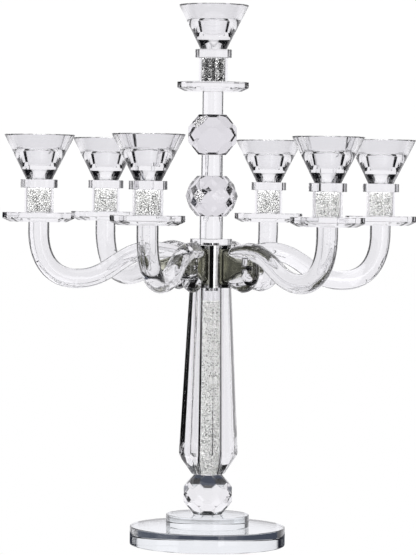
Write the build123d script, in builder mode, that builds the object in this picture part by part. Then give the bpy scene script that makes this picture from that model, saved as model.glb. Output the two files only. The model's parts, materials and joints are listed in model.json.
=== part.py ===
from build123d import *
import os
from math import cos, radians, sin

os.makedirs("parts", exist_ok=True)

# Seven-light crystal candelabrum: a middle light on a column, and six arms around a metal hub.
# +Z is up, the origin is the centre of the base's underside, and all sizes are millimetres.

# ---- layout ----
ARM_COUNT = 6
ARM_STEP = 360 / ARM_COUNT
ARM_REACH = 173.3          # column axis to the axis of an arm's candle
GLUE = 0.05                # bond line between two cemented pieces
GRAIN_GAP = 0.15           # play between the loose filling and the bore that holds it
RUN_FIT = 0.05             # radial clearance of a stud that turns or slides in its hole
LIGHT_TURN = -10           # how the many-sided trays and collars are clocked, degrees

# ---- base and stem ----
BASE_R, BASE_T, BASE_EDGE = 77.8, 18.5, 0.8
RISER_R, RISER_T, RISER_EDGE = 41.6, 12.0, 0.6
BALL_H = 40.4              # flat to flat, where the balls are cemented
STEM_SIDES = 8
STEM_H = 187.2
STEM_FOOT_R, STEM_BELLY_R, STEM_TOP_R = 16.5, 30.0, 21.2   # to the corners of the octagon
STEM_BELLY_H = 19.0        # height of the widest section above the stem's foot
STEM_NICK_TILT, STEM_NICK_DEPTH = -22, 1.1   # small facets on the corners of that section
STEM_BORE_R = 9.8
STEM_FLOOR = 1.2           # glass left under the bore
PLUG_T = 13.0              # clear plug that closes the bore

# ---- hub ----
HUB_R, HUB_H = 21.0, 42.0
FLANGE_R, FLANGE_T = 21.6, 2.2
PAD_OFFSET = 20.0          # flats on the drum that the arm brackets sit on
PLATE_W, PLATE_H, PLATE_T = 12.4, 35.0, 4.0
FRAME_W, FRAME_DEPTH = 1.5, 1.0
ARM_STUD_R, ARM_STUD_L = 3.0, 11.0
TOP_SPIGOT_R, TOP_SPIGOT_L = 6.0, 2.5
STEM_SPIGOT_R, STEM_SPIGOT_L = 4.0, 3.5

# ---- neck of the middle light ----
NECK_DISC_R, NECK_DISC_T = 21.1, 6.5
LOWER_ROD_R, LOWER_ROD_L = 11.6, 22.4
MIDDLE_ROD_R, MIDDLE_ROD_L = 10.7, 20.7
UPPER_ROD_R, UPPER_ROD_L = 10.4, 22.8

# ---- faceted ball, tangent distances of its rows of facets ----
BALL_BLANK_R = 27.0
BALL_FACETS = 8
BALL_BELT, BALL_SHOULDER, BALL_CORNER = 24.1, 23.3, 24.7
SHOULDER_TILT, CORNER_TILT = 39, 19

# ---- candle light, the stack that each arm and the column carry ----
TRAY_SIDES, TRAY_APOTHEM, TRAY_RIM_T, TRAY_BEVEL_T, TRAY_BEVEL_IN = 12, 35.6, 5.8, 3.6, 7.5
TUBE_R, TUBE_BORE_R, TUBE_L = 14.5, 12.2, 24.2
COLLAR_SIDES, COLLAR_APOTHEM, COLLAR_T = 16, 18.2, 8.2
CUP_FOOT_R, CUP_RIM_R, CUP_H, CUP_EDGE = 12.9, 35.2, 44.5, 0.5
RECESS_RIM_R, RECESS_FLOOR_R, RECESS_DEPTH = 30.0, 23.5, 14.0   # for a tealight
WELL_MOUTH_R, WELL_TAPER_DEPTH = 13.8, 11.5                     # lead-in of the candle well
SEAT_R, SEAT_DEPTH = 11.8, 4.0                                  # seat that grips the candle's foot

# ---- arm: bent rod, its diameters, and the curl under its root ----
TROUGH_R, TROUGH_DROP = 135.0, 13.2      # lowest point of the rod, below the hub's middle
CREST_R, CREST_RISE = 58.0, 15.8         # highest point near the hub, above the hub's middle
LOBE_R, LOBE_RISE = 35.5, 14.0           # where the rod ends above the bracket
ARM_BEND_RISE = 34.0                     # where the upright part starts to bend
ROD_TOP, ROD_TROUGH, ROD_CREST, ROD_LOBE = 10.5, 9.7, 9.0, 5.8
CURL_R, CURL_START_RISE, CURL_BEND_DROP, CURL_BEND_RADIUS = 61.5, 10.0, 4.5, 12.0
CURL_TIP_R, CURL_TIP_DROP = 32.5, 15.5
CURL_TOP, CURL_MIDDLE, CURL_TIP = 8.8, 8.3, 3.2

# ---- arm bracket: fan-shaped metal piece between hub and rod ----
FAN_PROFILE = ((23.0, 15.8), (33.0, 13.0), (42.0, 9.0), (52.7, 6.1))   # reach and half height
FAN_W = PLATE_W - 2 * FRAME_W - 2 * GLUE
FAN_TIP_R = FAN_PROFILE[-1][0]
FAN_EDGE = 3.0
PIN_R, PIN_L, PIN_PLAY = 2.5, 7.0, 0.1
SEAT_GAP = 0.1             # space between the glass and the bracket it is bedded on

# ---- heights, from the table upwards ----
riser_z = BASE_T + GLUE
foot_ball_z = riser_z + RISER_T + GLUE
stem_z = foot_ball_z + BALL_H + GLUE
stem_top_z = stem_z + STEM_H
hub_z = stem_top_z + GLUE
hub_top_z = hub_z + HUB_H
hub_mid_z = hub_z + HUB_H / 2
neck_disc_z = hub_top_z + GLUE
lower_rod_z = neck_disc_z + NECK_DISC_T + GLUE
lower_ball_z = lower_rod_z + LOWER_ROD_L + GLUE
middle_rod_z = lower_ball_z + BALL_H + GLUE
upper_ball_z = middle_rod_z + MIDDLE_ROD_L + GLUE
upper_rod_z = upper_ball_z + BALL_H + GLUE
middle_light_z = upper_rod_z + UPPER_ROD_L + GLUE
arm_top_z = 322.0
arm_light_z = arm_top_z + GLUE


def save(piece, name):
    """Label a finished piece and write it under its own name."""
    piece.part.label = name
    export_step(piece.part, f"parts/{name}.step")


def level(z, turn=0.0, x=0.0, y=0.0):
    """Horizontal plane at height z above the point x, y, turned about +Z."""
    return Plane(origin=(x, y, z), x_dir=(cos(radians(turn)), sin(radians(turn)), 0), z_dir=(0, 0, 1))


def upright(angle):
    """Upright plane through the column axis: local x is distance from the axis, local y is height."""
    a = radians(angle)
    return Plane(origin=(0, 0, 0), x_dir=(cos(a), sin(a), 0), z_dir=(sin(a), -cos(a), 0))


def flat_sided(apothem, sides):
    """Polygon with the middle of one flat on the sketch's x axis, added to the current sketch."""
    return RegularPolygon(apothem, sides, major_radius=False, rotation=180 / sides)


def cut_row(centre, turn, tilt, distance, count):
    """Grind one row of flat facets round a blank, each square to a ray from the centre."""
    for k in range(count):
        a = radians(turn + k * 360 / count)
        t = radians(tilt)
        normal = Vector(cos(t) * cos(a), cos(t) * sin(a), sin(t))
        split(bisect_by=Plane(origin=centre + normal * distance, z_dir=normal), keep=Keep.BOTTOM)


def disc(name, z, radius, thickness, edge):
    """Plain round plate with its edges eased."""
    with BuildPart() as plate:
        with BuildSketch(level(z)):
            Circle(radius)
        extrude(amount=thickness)
        chamfer(plate.edges().filter_by(GeomType.CIRCLE), edge)
    save(plate, name)


def rod(name, z, radius, length):
    """Straight length of solid round glass."""
    with BuildPart() as piece:
        with BuildSketch(level(z)):
            Circle(radius)
        extrude(amount=length)
    save(piece, name)


def faceted_ball(name, z, turn):
    """Crystal ball: a belt of facets, two shoulders, and small corner facets between them."""
    centre = Vector(0, 0, z + BALL_H / 2)
    half_step = 180 / BALL_FACETS
    with BuildPart() as ball:
        with BuildSketch(level(z)):
            Circle(BALL_BLANK_R)
        extrude(amount=BALL_H)
        cut_row(centre, turn, 0, BALL_BELT, BALL_FACETS)
        for side in (1, -1):
            cut_row(centre, turn, side * SHOULDER_TILT, BALL_SHOULDER, BALL_FACETS)
            cut_row(centre, turn + half_step, side * CORNER_TILT, BALL_CORNER, BALL_FACETS)
    save(ball, name)


def candle_light(prefix, x, y, z, turn):
    """Drip tray, filled tube, collar and candle cup, stacked from height z on the axis at x, y."""
    with BuildPart() as tray:
        with BuildSketch(level(z, turn, x, y)):
            flat_sided(TRAY_APOTHEM - TRAY_BEVEL_IN, TRAY_SIDES)
        with BuildSketch(level(z + TRAY_BEVEL_T, turn, x, y)):
            flat_sided(TRAY_APOTHEM, TRAY_SIDES)
        loft(ruled=True)
        with BuildSketch(level(z + TRAY_BEVEL_T, turn, x, y)):
            flat_sided(TRAY_APOTHEM, TRAY_SIDES)
        extrude(amount=TRAY_RIM_T)
    save(tray, f"{prefix}_drip_tray")

    tube_z = z + TRAY_BEVEL_T + TRAY_RIM_T + GLUE
    with BuildPart() as tube:
        with BuildSketch(level(tube_z, turn, x, y)):
            Circle(TUBE_R)
            Circle(TUBE_BORE_R, mode=Mode.SUBTRACT)
        extrude(amount=TUBE_L)
    save(tube, f"{prefix}_tube")

    with BuildPart() as grains:
        with BuildSketch(level(tube_z + GRAIN_GAP, turn, x, y)):
            Circle(TUBE_BORE_R - GRAIN_GAP)
        extrude(amount=TUBE_L - 2 * GRAIN_GAP)
    save(grains, f"{prefix}_crystal_fill")

    collar_z = tube_z + TUBE_L + GLUE
    with BuildPart() as collar:
        with BuildSketch(level(collar_z, turn, x, y)):
            flat_sided(COLLAR_APOTHEM, COLLAR_SIDES)
        extrude(amount=COLLAR_T)
    save(collar, f"{prefix}_collar")

    cup_z = collar_z + COLLAR_T + GLUE
    rim_z = cup_z + CUP_H
    recess_z = rim_z - RECESS_DEPTH
    seat_z = recess_z - WELL_TAPER_DEPTH
    lip_r = CUP_RIM_R - CUP_EDGE * (CUP_RIM_R - CUP_FOOT_R) / CUP_H
    with BuildPart() as cup:
        with BuildSketch(Plane(origin=(x, y, 0), x_dir=(1, 0, 0), z_dir=(0, -1, 0))):
            with BuildLine():
                Polyline((0, cup_z), (CUP_FOOT_R, cup_z), (lip_r, rim_z - CUP_EDGE),
                         (lip_r - CUP_EDGE, rim_z), (RECESS_RIM_R, rim_z), (RECESS_FLOOR_R, recess_z),
                         (WELL_MOUTH_R, recess_z), (SEAT_R, seat_z), (SEAT_R, seat_z - SEAT_DEPTH),
                         (0, seat_z - SEAT_DEPTH), (0, cup_z))
            make_face()
        revolve(axis=Axis((x, y, 0), (0, 0, 1)))
    save(cup, f"{prefix}_cup")


def fan_outline(side, grow):
    """Side view of the bracket: tall at the hub, sweeping in to a narrow nose at the glass."""
    upper = [(reach, hub_mid_z + half + grow) for reach, half in FAN_PROFILE]
    lower = [(reach, hub_mid_z - half - grow) for reach, half in FAN_PROFILE]
    upper[-1] = (FAN_TIP_R + grow, upper[-1][1])
    lower[-1] = (FAN_TIP_R + grow, lower[-1][1])
    with BuildSketch(side) as outline:
        with BuildLine():
            Spline(*upper)
            Line(upper[-1], lower[-1])
            Spline(*reversed(lower))
            Line(lower[0], upper[0])
        make_face()
    return outline.sketch


def bracket():
    """Metal piece that joins an arm to the hub: stud, framed plate, fan and cemented pin."""
    side = upright(0)
    outward = side.x_dir
    pad_centre = outward * (PAD_OFFSET + GLUE) + Vector(0, 0, hub_mid_z)
    pad = Plane(origin=pad_centre, x_dir=side.z_dir, z_dir=outward)
    with BuildPart() as piece:
        with BuildSketch(pad):
            Rectangle(PLATE_W, PLATE_H)
        extrude(amount=PLATE_T - GLUE)
        with BuildSketch(pad.offset(PLATE_T - GLUE)):
            Rectangle(PLATE_W - 2 * FRAME_W, PLATE_H - 2 * FRAME_W)
        extrude(amount=-FRAME_DEPTH, mode=Mode.SUBTRACT)
        with BuildSketch(pad):
            Circle(ARM_STUD_R)
        extrude(amount=-ARM_STUD_L)
        with BuildSketch(pad.offset(FAN_TIP_R - PAD_OFFSET - GLUE)):
            Circle(PIN_R)
        extrude(amount=PIN_L)
    outline = fan_outline(side, 0)
    with BuildPart() as fan:
        extrude(outline, amount=FAN_W / 2, both=True)
        fillet(fan.edges().filter_by(GeomType.BSPLINE), FAN_EDGE)
    with BuildPart() as whole:
        add(piece.part)
        add(fan.part)
    return whole


def arm_rod():
    """Bent glass rod from the drip tray to the hub, with a tapering curl under its root."""
    side = upright(0)
    top = (ARM_REACH, arm_top_z)
    bend = (ARM_REACH, hub_mid_z + ARM_BEND_RISE)
    trough = (TROUGH_R, hub_mid_z - TROUGH_DROP)
    crest = (CREST_R, hub_mid_z + CREST_RISE)
    lobe = (LOBE_R, hub_mid_z + LOBE_RISE)
    with BuildPart() as glass:
        with BuildLine(side):
            upright_part = Line(top, bend)
        with BuildSketch(Plane(origin=upright_part @ 0, z_dir=upright_part % 0)):
            Circle(ROD_TOP)
        sweep(path=upright_part)
        with BuildLine(side):
            outer_bend = Spline(bend, trough, tangents=[(0, -1), (-1, 0)], tangent_scalars=[1.3, 1.3])
        for at, radius in ((0, ROD_TOP), (1, ROD_TROUGH)):
            with BuildSketch(Plane(origin=outer_bend @ at, z_dir=outer_bend % at)):
                Circle(radius)
        sweep(path=outer_bend, multisection=True)
        with BuildLine(side):
            rise = Spline(trough, crest, tangents=[(-1, 0), (-1, 0)])
        for at, radius in ((0, ROD_TROUGH), (1, ROD_CREST)):
            with BuildSketch(Plane(origin=rise @ at, z_dir=rise % at)):
                Circle(radius)
        sweep(path=rise, multisection=True)
        with BuildLine(side):
            inner = Spline(crest, lobe, tangents=[(-1, 0), (-1, -0.25)])
        for at, radius in ((0, ROD_CREST), (1, ROD_LOBE)):
            with BuildSketch(Plane(origin=inner @ at, z_dir=inner % at)):
                Circle(radius)
        sweep(path=inner, multisection=True)
        with Locations(inner @ 1):
            Sphere(ROD_LOBE)
    with BuildPart() as curl:
        with BuildLine(side):
            down = Line((CURL_R, hub_mid_z + CURL_START_RISE), (CURL_R, hub_mid_z - CURL_BEND_DROP))
            turn = JernArc(down @ 1, (0, -1), CURL_BEND_RADIUS, -90)
            tail = Spline(turn @ 1, (CURL_TIP_R, hub_mid_z - CURL_TIP_DROP), tangents=[(-1, 0), (-1, 0.35)])
        with BuildSketch(Plane(origin=down @ 0, z_dir=down % 0)):
            Circle(CURL_TOP)
        sweep(path=down)
        for at, radius in ((0, CURL_TOP), (1, CURL_MIDDLE)):
            with BuildSketch(Plane(origin=turn @ at, z_dir=turn % at)):
                Circle(radius)
        sweep(path=turn, multisection=True)
        for at, radius in ((0, CURL_MIDDLE), (1, CURL_TIP)):
            with BuildSketch(Plane(origin=tail @ at, z_dir=tail % at)):
                Circle(radius)
        sweep(path=tail, multisection=True)
        with Locations(tail @ 1):
            Sphere(CURL_TIP)
    seat = fan_outline(side, SEAT_GAP)
    with BuildPart() as whole:
        add(glass.part)
        add(curl.part)
        extrude(seat, amount=FAN_W / 2 + SEAT_GAP, both=True, mode=Mode.SUBTRACT)
        nose = Plane(origin=side.x_dir * FAN_TIP_R + Vector(0, 0, hub_mid_z), z_dir=side.x_dir)
        with BuildSketch(nose):
            Circle(PIN_R + PIN_PLAY)
        extrude(amount=PIN_L + PIN_PLAY, mode=Mode.SUBTRACT)
    return whole


def place(template, name, angle):
    """Copy a piece of the first arm round the column to the arm at the given angle."""
    with BuildPart() as copy:
        with Locations(Location((0, 0, 0), (0, 0, angle))):
            add(template.part)
    save(copy, name)


# ---- base, step, foot ball and stem ----
disc("base_disc", 0, BASE_R, BASE_T, BASE_EDGE)
disc("riser_disc", riser_z, RISER_R, RISER_T, RISER_EDGE)
faceted_ball("foot_ball", foot_ball_z, LIGHT_TURN)

with BuildPart() as stem:
    with BuildSketch(level(stem_z)):
        RegularPolygon(STEM_FOOT_R, STEM_SIDES)
    with BuildSketch(level(stem_z + STEM_BELLY_H)):
        RegularPolygon(STEM_BELLY_R, STEM_SIDES)
    with BuildSketch(level(stem_top_z)):
        RegularPolygon(STEM_TOP_R, STEM_SIDES)
    loft(ruled=True)
    nick_distance = STEM_BELLY_R * cos(radians(STEM_NICK_TILT)) - STEM_NICK_DEPTH
    cut_row(Vector(0, 0, stem_z + STEM_BELLY_H), 0, STEM_NICK_TILT, nick_distance, STEM_SIDES)
    with BuildSketch(level(stem_z + STEM_FLOOR)):
        Circle(STEM_BORE_R)
    extrude(amount=STEM_H, mode=Mode.SUBTRACT)
save(stem, "stem")

plug_z = stem_top_z - PLUG_T
with BuildPart() as stem_plug:
    with BuildSketch(level(plug_z)):
        Circle(STEM_BORE_R - GLUE)
    extrude(amount=PLUG_T)
    with BuildSketch(level(stem_top_z)):
        Circle(STEM_SPIGOT_R + RUN_FIT)
    extrude(amount=-(STEM_SPIGOT_L + 2 * GRAIN_GAP), mode=Mode.SUBTRACT)
save(stem_plug, "stem_plug")

rod("stem_crystal_fill", stem_z + STEM_FLOOR + GRAIN_GAP, STEM_BORE_R - GRAIN_GAP,
    STEM_H - STEM_FLOOR - PLUG_T - 2 * GRAIN_GAP)

# ---- hub: drum with two flanges, six flats with stud holes, and a spigot at each end ----
with BuildPart() as hub:
    with BuildSketch(level(hub_z)):
        Circle(HUB_R)
    extrude(amount=HUB_H)
    for flange_z in (hub_z, hub_top_z - FLANGE_T):
        with BuildSketch(level(flange_z)):
            Circle(FLANGE_R)
        extrude(amount=FLANGE_T)
    for k in range(ARM_COUNT):
        side = upright(k * ARM_STEP)
        pad_centre = side.x_dir * PAD_OFFSET + Vector(0, 0, hub_mid_z)
        pad = Plane(origin=pad_centre, x_dir=side.z_dir, z_dir=side.x_dir)
        with BuildSketch(pad):
            Rectangle(PLATE_W + 2 * GRAIN_GAP, PLATE_H + 2 * GRAIN_GAP)
        extrude(amount=HUB_R - PAD_OFFSET + PLATE_T, mode=Mode.SUBTRACT)
        with BuildSketch(pad):
            Circle(ARM_STUD_R + RUN_FIT)
        extrude(amount=-(ARM_STUD_L + GRAIN_GAP), mode=Mode.SUBTRACT)
    with BuildSketch(level(hub_top_z)):
        Circle(TOP_SPIGOT_R)
    extrude(amount=TOP_SPIGOT_L)
    with BuildSketch(level(hub_z)):
        Circle(STEM_SPIGOT_R)
    extrude(amount=-STEM_SPIGOT_L)
save(hub, "hub")

# ---- neck of the middle light ----
with BuildPart() as neck_disc:
    with BuildSketch(level(neck_disc_z)):
        Circle(NECK_DISC_R)
    extrude(amount=NECK_DISC_T)
    chamfer(neck_disc.edges().filter_by(GeomType.CIRCLE), RISER_EDGE / 2)
    with BuildSketch(level(neck_disc_z)):
        Circle(TOP_SPIGOT_R + RUN_FIT)
    extrude(amount=TOP_SPIGOT_L + GRAIN_GAP, mode=Mode.SUBTRACT)
save(neck_disc, "neck_disc")

rod("lower_neck_rod", lower_rod_z, LOWER_ROD_R, LOWER_ROD_L)
faceted_ball("lower_neck_ball", lower_ball_z, LIGHT_TURN + 180 / BALL_FACETS)
rod("middle_neck_rod", middle_rod_z, MIDDLE_ROD_R, MIDDLE_ROD_L)
faceted_ball("upper_neck_ball", upper_ball_z, LIGHT_TURN)
rod("upper_neck_rod", upper_rod_z, UPPER_ROD_R, UPPER_ROD_L)

# ---- the seven lights, and the six arms that carry the outer ones ----
candle_light("middle", 0, 0, middle_light_z, LIGHT_TURN)
first_rod = arm_rod()
first_bracket = bracket()
for k in range(ARM_COUNT):
    angle = k * ARM_STEP
    arm = f"arm_{k + 1}"
    arm_x = ARM_REACH * cos(radians(angle))
    arm_y = ARM_REACH * sin(radians(angle))
    place(first_rod, f"{arm}_rod", angle)
    place(first_bracket, f"{arm}_bracket", angle)
    candle_light(arm, arm_x, arm_y, arm_light_z, LIGHT_TURN)
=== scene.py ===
"""Looks of the crystal candelabrum: materials, crushed crystal fillings, light and camera."""
import json
import math
import random

import bmesh
import bpy
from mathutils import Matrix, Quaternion, Vector


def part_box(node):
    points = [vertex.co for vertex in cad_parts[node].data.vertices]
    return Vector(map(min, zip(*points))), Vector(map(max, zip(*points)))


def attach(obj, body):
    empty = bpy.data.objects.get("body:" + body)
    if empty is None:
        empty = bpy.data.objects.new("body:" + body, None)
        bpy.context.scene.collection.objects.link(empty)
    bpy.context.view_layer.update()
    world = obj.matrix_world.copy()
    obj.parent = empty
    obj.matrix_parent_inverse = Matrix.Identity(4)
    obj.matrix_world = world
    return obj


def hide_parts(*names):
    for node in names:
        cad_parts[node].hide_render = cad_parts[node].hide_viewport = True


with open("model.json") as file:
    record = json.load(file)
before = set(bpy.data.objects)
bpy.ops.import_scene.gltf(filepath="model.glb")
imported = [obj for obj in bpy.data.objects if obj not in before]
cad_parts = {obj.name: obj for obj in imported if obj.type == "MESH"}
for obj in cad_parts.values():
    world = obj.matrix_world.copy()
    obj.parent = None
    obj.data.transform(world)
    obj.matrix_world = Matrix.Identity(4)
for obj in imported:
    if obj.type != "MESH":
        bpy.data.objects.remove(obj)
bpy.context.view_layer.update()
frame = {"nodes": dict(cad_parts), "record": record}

MM = 0.001
LIGHTS = ["middle"] + [f"arm_{k}" for k in range(1, 7)]
BODY_OF = {node: body for body, nodes in frame["record"]["behaviour"]["bodies"].items() for node in nodes}


# ---------------------------------------------------------------- node helpers
class Nodes:
    """Short hand for building a node tree."""

    def __init__(self, tree):
        self.tree = tree
        tree.nodes.clear()

    def add(self, kind, **settings):
        node = self.tree.nodes.new(kind)
        for key, value in settings.items():
            setattr(node, key, value)
        return node

    def link(self, source, target):
        self.tree.links.new(source, target)

    def feed(self, target, value):
        """Connect a socket or set a plain value."""
        if isinstance(value, bpy.types.NodeSocket):
            self.link(value, target)
        else:
            target.default_value = value

    def math(self, operation, *values):
        node = self.add("ShaderNodeMath", operation=operation)
        for socket, value in zip(node.inputs, values):
            self.feed(socket, value)
        return node.outputs[0]

    def ramp(self, value, low, high, out_low=0.0, out_high=1.0):
        """Smooth change from out_low to out_high as value goes from low to high."""
        node = self.add("ShaderNodeMapRange", interpolation_type="SMOOTHSTEP")
        for name, number in (("Value", value), ("From Min", low), ("From Max", high),
                             ("To Min", out_low), ("To Max", out_high)):
            self.feed(node.inputs[name], number)
        return node.outputs["Result"]

    def band(self, value, low, high, soft):
        """One between low and high, falling to zero over the width soft on each side."""
        rising = self.ramp(value, low - soft, low + soft)
        falling = self.ramp(value, high - soft, high + soft, 1.0, 0.0)
        return self.math("MULTIPLY", rising, falling)

    def mix(self, factor, first, second, blend="MIX"):
        """Colour between first and second, each a socket or a plain (red, green, blue)."""
        node = self.add("ShaderNodeMix", data_type="RGBA", blend_type=blend)
        self.feed(node.inputs["Factor"], factor)
        for name, colour in (("A", first), ("B", second)):
            plain = isinstance(colour, tuple)
            self.feed(node.inputs[name], (*colour, 1.0) if plain else colour)
        return node.outputs["Result"]

    def noise(self, place, scale, detail, roughness):
        node = self.add("ShaderNodeTexNoise")
        for name, number in (("Scale", scale), ("Detail", detail), ("Roughness", roughness), ("Vector", place)):
            self.feed(node.inputs[name], number)
        return node.outputs["Fac"]

    def bump(self, height, strength, distance):
        node = self.add("ShaderNodeBump")
        for name, number in (("Height", height), ("Strength", strength), ("Distance", distance)):
            self.feed(node.inputs[name], number)
        return node.outputs["Normal"]

    def place(self):
        return self.add("ShaderNodeTexCoord").outputs["Object"]


def new_material(name):
    """Empty material with one principled shader joined to its output."""
    material = bpy.data.materials.new(name)
    material.use_nodes = True
    nodes = Nodes(material.node_tree)
    shader = nodes.add("ShaderNodeBsdfPrincipled")
    output = nodes.add("ShaderNodeOutputMaterial")
    nodes.link(shader.outputs["BSDF"], output.inputs["Surface"])
    return material, nodes, shader, output


# ---------------------------------------------------------------- materials
WATER_CLEAR = (0.985, 0.985, 0.992)      # tint of thin glass
BALL_TINT = (0.84, 0.83, 0.855)          # the neck balls are slightly greyer
THICK_TINT = (0.93, 0.955, 0.968)        # faint blue of the thick discs
FAINT_WAVES, TUBE_WAVES, THICK_WAVES = (30.0, 0.03), (40.0, 0.04), (20.0, 0.03)   # scale and strength
DRAWN_WAVES = (60.0, 0.25)
WAVE_DEPTH = 0.4 * MM
HAZE = 0.012                             # roughness of the haziest patches of glass
HAZE_SCALE, HAZE_PATCHES = 38.0, (0.45, 0.8)
SEED_SIZE, SEED_HEIGHT = (0.06, 0.14), 3.0   # small bubbles in drawn glass

TARNISH_SCALE, TARNISH_TONES, TARNISH_HAZE = 160.0, (0.3, 0.75), (0.3, 0.8)
# painted shade: within this reach, corners and recesses of the metal are darkened towards this colour
CREVICE_REACH, CREVICE_OPEN, CREVICE_PAINTED_SHADE = 2.5 * MM, (0.45, 0.9), (0.03, 0.03, 0.03)
POLISH_ROUGHNESS = (0.03, 0.11)
POLISH_SCALE, POLISH_STRENGTH, POLISH_DEPTH = 240.0, 0.12, 0.2 * MM

GRAIN_WARMTH = 0.985                     # blue in a grain's grey, against its red and green
GRAIN_ROUGHNESS, GRAIN_IOR, GRAIN_SHINE = (0.22, 0.05), 1.55, 0.9
SHUFFLE, MIRROR_EDGE = 17.3, 0.02        # makes which grains flash independent of their grey
# painted reflection: upright light and dark bands round the middle fill; where they start, how soft their edges
# are and how dark
BAND_TURN, BAND_EDGES, BAND_DARK = math.radians(99.7), (-0.9, 0.7), 0.1


def let_lamps_through(nodes, shader, output):
    """Lamp light and light scattered by the fillings pass straight through the glass."""
    path = nodes.add("ShaderNodeLightPath")
    straight = nodes.math("MAXIMUM", path.outputs["Is Shadow Ray"], path.outputs["Is Diffuse Ray"])
    clear = nodes.add("ShaderNodeBsdfTransparent")
    mix = nodes.add("ShaderNodeMixShader")
    nodes.link(straight, mix.inputs["Fac"])
    nodes.link(shader.outputs["BSDF"], mix.inputs[1])
    nodes.link(clear.outputs["BSDF"], mix.inputs[2])
    nodes.link(mix.outputs["Shader"], output.inputs["Surface"])


def crystal(name, tint, waves, ior=1.52, seeds=0.0):
    """Clear glass: polished, faintly wavy, with a trace of haze in patches and, where seeds is set, bubbles."""
    material, nodes, shader, output = new_material(name)
    shader.inputs["IOR"].default_value = ior
    shader.inputs["Transmission Weight"].default_value = 1.0
    shader.inputs["Base Color"].default_value = (*tint, 1.0)
    place = nodes.place()
    patches = nodes.noise(place, HAZE_SCALE, detail=3.0, roughness=0.6)
    nodes.link(nodes.ramp(patches, *HAZE_PATCHES, 0.0, HAZE), shader.inputs["Roughness"])
    wave_scale, wave_strength = waves
    height = nodes.noise(place, wave_scale, detail=1.0, roughness=0.5)
    if seeds:
        cells = nodes.add("ShaderNodeTexVoronoi")
        cells.inputs["Scale"].default_value = seeds
        nodes.link(place, cells.inputs["Vector"])
        bubbles = nodes.ramp(cells.outputs["Distance"], *SEED_SIZE, SEED_HEIGHT, 0.0)
        height = nodes.math("ADD", height, bubbles)
    nodes.link(nodes.bump(height, wave_strength, WAVE_DEPTH), shader.inputs["Normal"])
    let_lamps_through(nodes, shader, output)
    return material


def plated_metal(name, dull, bright, satin=0.0):
    """Plated metal in tones from dull to bright, with faint polishing marks and painted shade that darkens its
    corners.
    """
    material, nodes, shader, _ = new_material(name)
    shader.inputs["Metallic"].default_value = 1.0 - satin
    place = nodes.place()
    patches = nodes.noise(place, TARNISH_SCALE, detail=4.0, roughness=0.6)
    colour = nodes.mix(nodes.ramp(patches, *TARNISH_TONES), dull, bright)
    # painted shade: ambient occlusion darkens the colour in corners and recesses
    crevice = nodes.add("ShaderNodeAmbientOcclusion", only_local=True, samples=8)
    crevice.inputs["Distance"].default_value = CREVICE_REACH
    nodes.link(colour, crevice.inputs["Color"])
    unshaded = nodes.ramp(crevice.outputs["AO"], *CREVICE_OPEN)
    nodes.link(nodes.mix(unshaded, CREVICE_PAINTED_SHADE, colour), shader.inputs["Base Color"])
    low, high = POLISH_ROUGHNESS
    nodes.link(nodes.ramp(patches, *TARNISH_HAZE, low + satin, high + satin), shader.inputs["Roughness"])
    marks = nodes.noise(place, POLISH_SCALE, detail=2.0, roughness=0.5)
    nodes.link(nodes.bump(marks, POLISH_STRENGTH, POLISH_DEPTH), shader.inputs["Normal"])
    return material


def grain_material(name, greys, mirrors, band_count=0):
    """Crushed crystal: every grain has its own grey, and a share of them flash like small mirrors."""
    material, nodes, shader, _ = new_material(name)
    island = nodes.add("ShaderNodeNewGeometry").outputs["Random Per Island"]
    ramp = nodes.add("ShaderNodeValToRGB")
    stops = ramp.color_ramp.elements
    for stop, (position, grey) in zip((stops[0], stops[1]), (greys[0], greys[-1])):
        stop.position, stop.color = position, (grey, grey, grey * GRAIN_WARMTH, 1)
    for position, grey in greys[1:-1]:
        stops.new(position).color = (grey, grey, grey * GRAIN_WARMTH, 1)
    nodes.link(island, ramp.inputs["Fac"])
    tone = ramp.outputs["Color"]
    # painted reflection bands, darkening the grains' grey by their turn round the axis
    if band_count:
        tone = painted_reflection_bands(nodes, tone, band_count)
    nodes.link(tone, shader.inputs["Base Color"])
    shuffled = nodes.math("FRACT", nodes.math("MULTIPLY", island, SHUFFLE))
    nodes.link(nodes.ramp(shuffled, mirrors, mirrors + MIRROR_EDGE, 1.0, 0.0), shader.inputs["Metallic"])
    nodes.link(nodes.ramp(island, 0.0, 1.0, *GRAIN_ROUGHNESS), shader.inputs["Roughness"])
    shader.inputs["IOR"].default_value = GRAIN_IOR
    shader.inputs["Specular IOR Level"].default_value = GRAIN_SHINE
    return material


def painted_reflection_bands(nodes, tone, band_count):
    """Painted reflection: upright light and dark bands round the column's axis, like those a glossy tube
    reflects.
    """
    place = nodes.add("ShaderNodeSeparateXYZ")
    nodes.link(nodes.place(), place.inputs[0])
    turn = nodes.math("ARCTAN2", place.outputs["Y"], place.outputs["X"])
    wave = nodes.math("COSINE", nodes.math("MULTIPLY", nodes.math("ADD", turn, BAND_TURN), band_count))
    return nodes.mix(1.0, tone, nodes.ramp(wave, *BAND_EDGES, 1.0, BAND_DARK), "MULTIPLY")


CLEAR = crystal("clear_crystal", WATER_CLEAR, FAINT_WAVES)
DRAWN = crystal("drawn_crystal", WATER_CLEAR, DRAWN_WAVES, ior=1.62, seeds=180.0)
TUBE = crystal("tube_crystal", WATER_CLEAR, TUBE_WAVES, ior=1.62)
PLATE = crystal("plate_crystal", WATER_CLEAR, FAINT_WAVES, ior=1.44)
COLLAR = crystal("collar_crystal", WATER_CLEAR, FAINT_WAVES, ior=1.58)
BALL = crystal("ball_crystal", BALL_TINT, FAINT_WAVES)
THICK = crystal("thick_crystal", THICK_TINT, THICK_WAVES, ior=1.46)
CHROME = plated_metal("chrome", dull=(0.66, 0.66, 0.64), bright=(0.84, 0.84, 0.86))
BRACKET_METAL = plated_metal("bracket_metal", dull=(0.34, 0.34, 0.28), bright=(0.52, 0.52, 0.44), satin=0.08)

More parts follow.
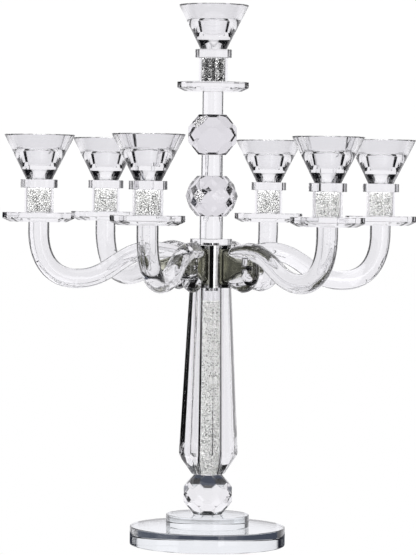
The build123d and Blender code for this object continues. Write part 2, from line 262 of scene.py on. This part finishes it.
# each pair is a share of the grains, from 0 to 1, and the grey there
PALE_GREYS = ((0.0, 0.35), (0.2, 0.85), (0.5, 0.98), (1.0, 1.0))
DARK_GREYS = ((0.0, 0.1), (0.5, 0.8), (1.0, 1.0))
GRAINS = grain_material("crushed_crystal", PALE_GREYS, mirrors=0.2)
# the middle fill carries nine painted reflection bands
DARK_GRAINS = grain_material("dark_crushed_crystal", DARK_GREYS, mirrors=0.3, band_count=9)


def material_for(node_name):
    if node_name == "hub":
        return CHROME
    if node_name.endswith("bracket"):
        return BRACKET_METAL
    if node_name in ("base_disc", "riser_disc"):
        return THICK
    if node_name.endswith("_rod") and node_name.startswith("arm"):
        return DRAWN
    return CLEAR


for node_name, node_object in frame["nodes"].items():
    node_object.data.materials.clear()
    node_object.data.materials.append(material_for(node_name))


# ---------------------------------------------------------------- glass meshes
SEGMENTS = 192                   # round glass is fine enough for clean refraction
SHARP = math.radians(8)          # a larger angle between two faces is a hard edge
CUT = math.radians(15)           # a larger angle between two facets gets a bevel
FLAT = math.radians(0.4)         # faces within this angle of each other are one facet
MERGE = 0.002 * MM               # corners closer than this are one point
EASED = 0.25 * MM                # width of the polished bevel on cut edges
TRAY_EASED, STEM_EASED = 0.5 * MM, 0.3 * MM
TUBE_EDGE, ROD_EDGE, BASE_EDGE, RISER_EDGE = 0.2 * MM, 0.15 * MM, 0.8 * MM, 0.6 * MM
TUBE_BORE = 12.2 * MM

CUP_FOOT = 12.9 * MM
RIM_LAND, CUP_ROUND = 0.5 * MM, 0.3 * MM
RECESS_RIM, RECESS_FLOOR, RECESS_DEEP = 30.0 * MM, 23.5 * MM, 14.0 * MM
WELL_MOUTH, TAPER_DEEP, SEAT, SEAT_DEEP = 13.8 * MM, 11.5 * MM, 11.8 * MM, 4.0 * MM


def new_object(name, mesh):
    obj = bpy.data.objects.new(name, mesh)
    bpy.context.scene.collection.objects.link(obj)
    return obj


def stand_in(name, node, bm, material):
    """Turn a bmesh into a piece that stands for a CAD node and moves with the node's body."""
    mesh = bpy.data.meshes.new(name)
    bm.to_mesh(mesh)
    bm.free()
    mesh.materials.append(material)
    piece = new_object(name, mesh)
    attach(piece, BODY_OF[node])
    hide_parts(node)


def replace_glass(node, bm, material, suffix):
    """Shade a glass solid smoothly between its hard edges, and let it stand for its CAD node."""
    bm.normal_update()
    for face in bm.faces:
        face.smooth = True
    for edge in bm.edges:
        edge.smooth = len(edge.link_faces) != 2 or edge.calc_face_angle(0.0) < SHARP
    stand_in(f"{node}_{suffix}", node, bm, material)


def ease_edges(bm, width):
    """Bevel every edge where the facets meet sharply."""
    bm.normal_update()
    edges = [e for e in bm.edges if len(e.link_faces) == 2 and e.calc_face_angle(0.0) > CUT]
    bmesh.ops.bevel(bm, geom=edges, offset=width, segments=2, profile=0.5, affect="EDGES",
                    clamp_overlap=True)


def rounded(corners, steps=4):
    """Outline whose corners (across, up, radius) are rounded; a radius of zero leaves a corner sharp."""
    outline = []
    for index, (x, z, radius) in enumerate(corners):
        corner = Vector((x, z))
        if not radius:
            outline.append((x, z))
            continue
        before, after = corners[index - 1], corners[(index + 1) % len(corners)]
        back = (Vector(before[:2]) - corner).normalized()
        onward = (Vector(after[:2]) - corner).normalized()
        half = back.angle(onward) / 2
        reach = radius / math.tan(half)
        middle = corner + (back + onward).normalized() * radius / math.sin(half)
        start, end = corner + back * reach - middle, corner + onward * reach - middle
        for step in range(steps + 1):
            along = start.lerp(end, step / steps).normalized() * radius
            outline.append(tuple(middle + along))
    return outline


def lathe(profile, centre):
    """Solid of revolution about an upright axis, from a closed outline of (radius, height) points."""
    bm = bmesh.new()
    rings = []
    for radius, z in profile:
        if radius == 0:
            rings.append([bm.verts.new((centre.x, centre.y, z))])
            continue
        ring = []
        for k in range(SEGMENTS):
            turn = 2 * math.pi * k / SEGMENTS
            x, y = centre.x + radius * math.cos(turn), centre.y + radius * math.sin(turn)
            ring.append(bm.verts.new((x, y, z)))
        rings.append(ring)
    for first, second in zip(rings, rings[1:] + rings[:1]):
        if len(first) == len(second) == 1:
            continue
        for k in range(SEGMENTS):
            after = (k + 1) % SEGMENTS
            if len(first) == 1:
                bm.faces.new((first[0], second[after], second[k]))
            elif len(second) == 1:
                bm.faces.new((first[k], first[after], second[0]))
            else:
                bm.faces.new((first[k], first[after], second[after], second[k]))
    return bm


def turned_solid(node, material, edge, bore=0.0):
    """Round plate or rod with rounded edges, and a bore through it where bore is its radius."""
    low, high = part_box(node)
    radius = (high.x - low.x) / 2
    corners = [(radius, low.z, edge), (radius, high.z, edge)]
    if bore:
        corners += [(bore, high.z, edge), (bore, low.z, edge)]
    else:
        corners += [(0, high.z, 0), (0, low.z, 0)]
    replace_glass(node, lathe(rounded(corners), (low + high) / 2), material, "glass")


def cut_solid(node, material, width=EASED):
    """The CAD node's own facets, joined up and with every cut edge polished to a narrow bevel."""
    bm = bmesh.new()
    bm.from_mesh(frame["nodes"][node].data)
    bmesh.ops.remove_doubles(bm, verts=bm.verts, dist=MERGE)
    bmesh.ops.dissolve_limit(bm, angle_limit=FLAT, verts=bm.verts, edges=bm.edges)
    ease_edges(bm, width)
    replace_glass(node, bm, material, "cut")


def turned_cup(light):
    """Conical cup with a wide recess for a tealight and a tapered well under it for a candle."""
    node = f"{light}_cup"
    low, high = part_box(node)
    rim = (high.x - low.x) / 2
    recess_z = high.z - RECESS_DEEP
    seat_z = recess_z - TAPER_DEEP
    corners = [(0, low.z, 0), (CUP_FOOT, low.z, EASED), (rim, high.z - RIM_LAND, CUP_ROUND),
               (rim - RIM_LAND, high.z, CUP_ROUND), (RECESS_RIM, high.z, CUP_ROUND),
               (RECESS_FLOOR, recess_z, CUP_ROUND), (WELL_MOUTH, recess_z, CUP_ROUND), (SEAT, seat_z, 0),
               (SEAT, seat_z - SEAT_DEEP, 0), (0, seat_z - SEAT_DEEP, 0)]
    replace_glass(node, lathe(rounded(corners), (low + high) / 2), CLEAR, "glass")


def glass_pieces():
    for light in LIGHTS:
        turned_cup(light)
        cut_solid(f"{light}_drip_tray", PLATE, TRAY_EASED)
        cut_solid(f"{light}_collar", COLLAR)
        turned_solid(f"{light}_tube", TUBE, TUBE_EDGE, TUBE_BORE)
    cut_solid("foot_ball", CLEAR)
    for ball in ("lower_neck_ball", "upper_neck_ball"):
        cut_solid(ball, BALL)
    cut_solid("stem", CLEAR, STEM_EASED)
    for rod in ("lower_neck_rod", "middle_neck_rod", "upper_neck_rod"):
        turned_solid(rod, CLEAR, ROD_EDGE)
    turned_solid("base_disc", THICK, BASE_EDGE)
    turned_solid("riser_disc", THICK, RISER_EDGE)


glass_pieces()


# ---------------------------------------------------------------- crushed crystal
GRAIN = 1.9 * MM
# the shares down to SHIFT_UP are of a grain's size
WALL_GAP, LAYER_STEP, SMALLEST_RING = 0.55, 0.85, 0.3
ROW_STEP, ROW_END = 0.95, 0.55
SIZES, SHIFT_OUT, SHIFT_UP = (0.38, 0.56), 0.15, 0.3
SHIFT_ROUND, ODD_ROW_SHIFT = 0.7, 0.5      # shares of the way to the next grain in the ring
CHIP_REACH = (0.6, 1.0)                    # how far a chip's points stand out, of its size
LIGHT_LAYERS, STEM_LAYERS = 9, 5
FIRST_SEED, STEM_SEED = 100, 200


def grain_cloud(name, node, layers, seed, material):
    """Seeded heap of sharp grains that fills a CAD filling's cylinder, packed in rings from its wall."""
    rng = random.Random(seed)
    low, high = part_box(node)
    centre = (low + high) / 2
    radius = (high.x - low.x) / 2
    bm = bmesh.new()
    for layer in range(layers):
        ring_radius = radius - GRAIN * (WALL_GAP + LAYER_STEP * layer)
        if ring_radius < GRAIN * SMALLEST_RING:
            break
        rows = int((high.z - low.z - GRAIN) / (GRAIN * ROW_STEP))
        around = max(3, int(2 * math.pi * ring_radius / GRAIN))
        for row in range(rows + 1):
            z = low.z + GRAIN * ROW_END + (high.z - low.z - 2 * ROW_END * GRAIN) * row / max(rows, 1)
            for k in range(around):
                turn = 2 * math.pi * (k + rng.random() * SHIFT_ROUND + ODD_ROW_SHIFT * (row % 2)) / around
                size = GRAIN * rng.uniform(*SIZES)
                reach = min(ring_radius + rng.uniform(-SHIFT_OUT, SHIFT_OUT) * GRAIN, radius - size)
                spot = Vector((centre.x + reach * math.cos(turn), centre.y + reach * math.sin(turn), z))
                shifted = spot.z + rng.uniform(-SHIFT_UP, SHIFT_UP) * GRAIN
                spot.z = min(max(shifted, low.z + size), high.z - size)
                add_grain(bm, spot, size, rng)
    stand_in(name, node, bm, material)


def add_grain(bm, spot, size, rng):
    """One chip: an octahedron with its six points pushed about, turned at random."""
    turn = Quaternion((rng.gauss(0, 1), rng.gauss(0, 1), rng.gauss(0, 1), rng.gauss(0, 1))).normalized()
    points = []
    for axis in ((1, 0, 0), (-1, 0, 0), (0, 1, 0), (0, -1, 0), (0, 0, 1), (0, 0, -1)):
        reach = size * rng.uniform(*CHIP_REACH)
        points.append(bm.verts.new(spot + turn @ (Vector(axis) * reach)))
    for a in (0, 1):
        for b in (2, 3):
            for c in (4, 5):
                face = (points[a], points[b], points[c])
                if (a + b + c) % 2:
                    face = face[::-1]
                bm.faces.new(face)


def fill_bores():
    for index, light in enumerate(LIGHTS):
        material = DARK_GRAINS if light == "middle" else GRAINS
        name, node = f"{light}_crushed_crystal", f"{light}_crystal_fill"
        grain_cloud(name, node, LIGHT_LAYERS, FIRST_SEED + index, material)
    grain_cloud("stem_crushed_crystal", "stem_crystal_fill", STEM_LAYERS, STEM_SEED, GRAINS)


fill_bores()


# ---------------------------------------------------------------- studio
VIEW_TURN = math.radians(-9.7)
CAMERA_AWAY, CAMERA_HEIGHT = 2.9, 0.3645
AIM_SIDE, AIM_HEIGHT, ROLL = -0.0026, 0.268, math.radians(0.75)
LENS, SENSOR_WIDTH = 188, 36.0
CLIP_START, CLIP_END = 0.1, 60.0
GLASS_BOUNCES, METAL_BOUNCES, SHADOW_BOUNCES, GRAIN_BOUNCES = 32, 12, 16, 3
SPARKLE_LIMIT = 4.0               # caps stray bright samples

NEARLY_ZERO = 0.001               # keeps a division safe straight above
BACKDROP_EDGE = (0.56, 0.66)      # cosine from straight ahead where the white backdrop ends and is full
BACKDROP_TOP = (0.78, 0.86)       # sine of the height where it ends
BEHIND = (-0.05, -0.15)           # cosine from straight ahead where the soft boxes start and are full
SOFT_BOXES = ((-0.33, -0.13, 0.5), (0.27, 0.42, 2.2), (0.42, 0.70, 0.8))   # from, to, power
SOFT_BOX_HEIGHT = (-0.2, 0.35)    # sines of the height between which they shine
BOX_SOFT, BOX_HEIGHT_SOFT = 0.012, 0.04
TOP_BOX, TOP_POWER = (0.86, 0.93), 0.9
DARK_LEVEL, DARK_END = 0.006, 0.4     # light of the dark flags, and the light where their tint has gone
STUDIO_TINT = (0.955, 0.945, 0.975)
DARK_TINT = (0.75, 0.78, 1.0)
BASE_SHADE = (0.075, 0.085, 0.115)
SHADE_REACH, SHADE_SOFT = (0.079, 0.14), 0.004    # radii between which the table is dark round the base
FLOOR_HALF, FLOOR_DROP, FLOOR_GLOW = 12.0, 0.2 * MM, 0.95

# name, turn from the camera and height in degrees, distance and size in metres, power in watts
LAMPS = (("key", -50, 35, 1.6, 0.7, 58.0), ("fill", 45, 25, 1.6, 0.9, 30.0), ("top", 0, 80, 2.0, 1.5, 17.0),
         ("rear_left", -140, 35, 1.6, 0.9, 26.0), ("rear_right", 140, 30, 1.6, 0.9, 26.0))


def studio_light(nodes, direction):
    """Brightness of the studio in a world direction; the whole studio turns with the camera."""
    turned = nodes.add("ShaderNodeVectorTransform", vector_type="VECTOR", convert_from="WORLD",
                       convert_to="CAMERA")
    nodes.link(direction, turned.inputs[0])
    parts = nodes.add("ShaderNodeSeparateXYZ")
    nodes.link(turned.outputs[0], parts.inputs[0])
    side, up, ahead = parts.outputs
    level = nodes.math("SQRT", nodes.math("SUBTRACT", 1.0, nodes.math("MULTIPLY", up, up)))
    toward = nodes.math("DIVIDE", ahead, nodes.math("MAXIMUM", level, NEARLY_ZERO))
    below_top = nodes.ramp(up, *BACKDROP_TOP, 1.0, 0.0)
    backdrop = nodes.math("MULTIPLY", nodes.ramp(toward, *BACKDROP_EDGE), below_top)
    total = nodes.math("ADD", backdrop, DARK_LEVEL)
    in_height = nodes.band(up, *SOFT_BOX_HEIGHT, BOX_HEIGHT_SOFT)
    behind = nodes.math("MULTIPLY", nodes.ramp(ahead, *BEHIND), in_height)
    for low, high, power in SOFT_BOXES:
        box = nodes.math("MULTIPLY", nodes.band(side, low, high, BOX_SOFT), behind)
        total = nodes.math("ADD", total, nodes.math("MULTIPLY", box, power))
    return nodes.math("ADD", total, nodes.ramp(up, *TOP_BOX, 0.0, TOP_POWER))


def white_to_camera(nodes, light, colour, shader):
    """The camera sees plain white; the glass and the metal see the studio's own light and colour."""
    seen = nodes.add("ShaderNodeLightPath").outputs["Is Camera Ray"]
    nodes.link(nodes.mix(seen, colour, (1.0, 1.0, 1.0)), shader.inputs["Color"])
    nodes.link(nodes.math("MAXIMUM", light, seen), shader.inputs["Strength"])


def studio_world():
    """White backdrop ahead, dark flags at the sides, soft boxes behind the camera and above."""
    world = bpy.data.worlds.new("studio")
    bpy.context.scene.world = world
    world.use_nodes = True
    nodes = Nodes(world.node_tree)
    light = studio_light(nodes, nodes.add("ShaderNodeTexCoord").outputs["Generated"])
    tint = nodes.mix(nodes.ramp(light, DARK_LEVEL, DARK_END), DARK_TINT, STUDIO_TINT)
    background = nodes.add("ShaderNodeBackground")
    white_to_camera(nodes, light, tint, background)
    output = nodes.add("ShaderNodeOutputWorld")
    nodes.link(background.outputs["Background"], output.inputs["Surface"])


def studio_floor():
    """Pale sweep, white to the camera, and dark in the shade close round the base."""
    mesh = bpy.data.meshes.new("floor")
    corners = ((-1, -1), (1, -1), (1, 1), (-1, 1))
    mesh.from_pydata([(x * FLOOR_HALF, y * FLOOR_HALF, -FLOOR_DROP) for x, y in corners], [], [(0, 1, 2, 3)])
    floor = new_object("floor", mesh)
    material = bpy.data.materials.new("floor")
    material.use_nodes = True
    nodes = Nodes(material.node_tree)
    incoming = nodes.add("ShaderNodeNewGeometry").outputs["Incoming"]
    direction = nodes.add("ShaderNodeVectorMath", operation="SCALE")
    nodes.link(incoming, direction.inputs[0])
    direction.inputs["Scale"].default_value = -1.0
    light = nodes.math("MULTIPLY", studio_light(nodes, direction.outputs[0]), FLOOR_GLOW)
    reach = nodes.add("ShaderNodeVectorMath", operation="LENGTH")
    nodes.link(nodes.place(), reach.inputs[0])
    shade = nodes.band(reach.outputs["Value"], *SHADE_REACH, SHADE_SOFT)
    glow = nodes.add("ShaderNodeEmission")
    white_to_camera(nodes, light, nodes.mix(shade, STUDIO_TINT, BASE_SHADE), glow)
    output = nodes.add("ShaderNodeOutputMaterial")
    nodes.link(glow.outputs[0], output.inputs["Surface"])
    mesh.materials.append(material)


def studio_lamps():
    """Soft lamps for the fillings and the satin metal; they are not seen in the glass or the chrome."""
    for name, turn, height, away, size, power in LAMPS:
        data = bpy.data.lights.new(name, "AREA")
        data.shape, data.size, data.energy = "SQUARE", size, power
        lamp = new_object(name, data)
        a, e = VIEW_TURN + math.radians(turn), math.radians(height)
        toward = Vector((math.sin(a) * math.cos(e), -math.cos(a) * math.cos(e), math.sin(e)))
        lamp.location = toward * away + Vector((0, 0, AIM_HEIGHT))
        lamp.rotation_mode = "QUATERNION"
        lamp.rotation_quaternion = (-toward).to_track_quat("-Z", "Y")
        lamp.visible_camera = lamp.visible_glossy = lamp.visible_transmission = False


def studio_camera():
    forward = Vector((-math.sin(VIEW_TURN), math.cos(VIEW_TURN), 0))
    right = Vector((math.cos(VIEW_TURN), math.sin(VIEW_TURN), 0))
    data = bpy.data.cameras.new("camera")
    data.lens, data.sensor_width = LENS, SENSOR_WIDTH
    data.clip_start, data.clip_end = CLIP_START, CLIP_END
    camera = new_object("camera", data)
    camera.location = -forward * CAMERA_AWAY + Vector((0, 0, CAMERA_HEIGHT))
    aim = right * AIM_SIDE + Vector((0, 0, AIM_HEIGHT))
    look = (aim - camera.location).to_track_quat("-Z", "Y")
    camera.rotation_mode = "QUATERNION"
    camera.rotation_quaternion = look @ Quaternion((0, 0, 1), ROLL)
    bpy.context.scene.camera = camera


def studio_settings():
    """Enough bounces for light that crosses many glass walls."""
    scene = bpy.context.scene
    scene.view_settings.view_transform = "Standard"
    scene.cycles.max_bounces = GLASS_BOUNCES
    scene.cycles.transmission_bounces = GLASS_BOUNCES
    scene.cycles.glossy_bounces = METAL_BOUNCES
    scene.cycles.transparent_max_bounces = SHADOW_BOUNCES
    scene.cycles.diffuse_bounces = GRAIN_BOUNCES
    scene.cycles.caustics_reflective = True
    scene.cycles.caustics_refractive = True
    scene.cycles.sample_clamp_indirect = SPARKLE_LIMIT
    scene.cycles.use_denoising = True


studio_world()
studio_floor()
studio_lamps()
studio_camera()
studio_settings()
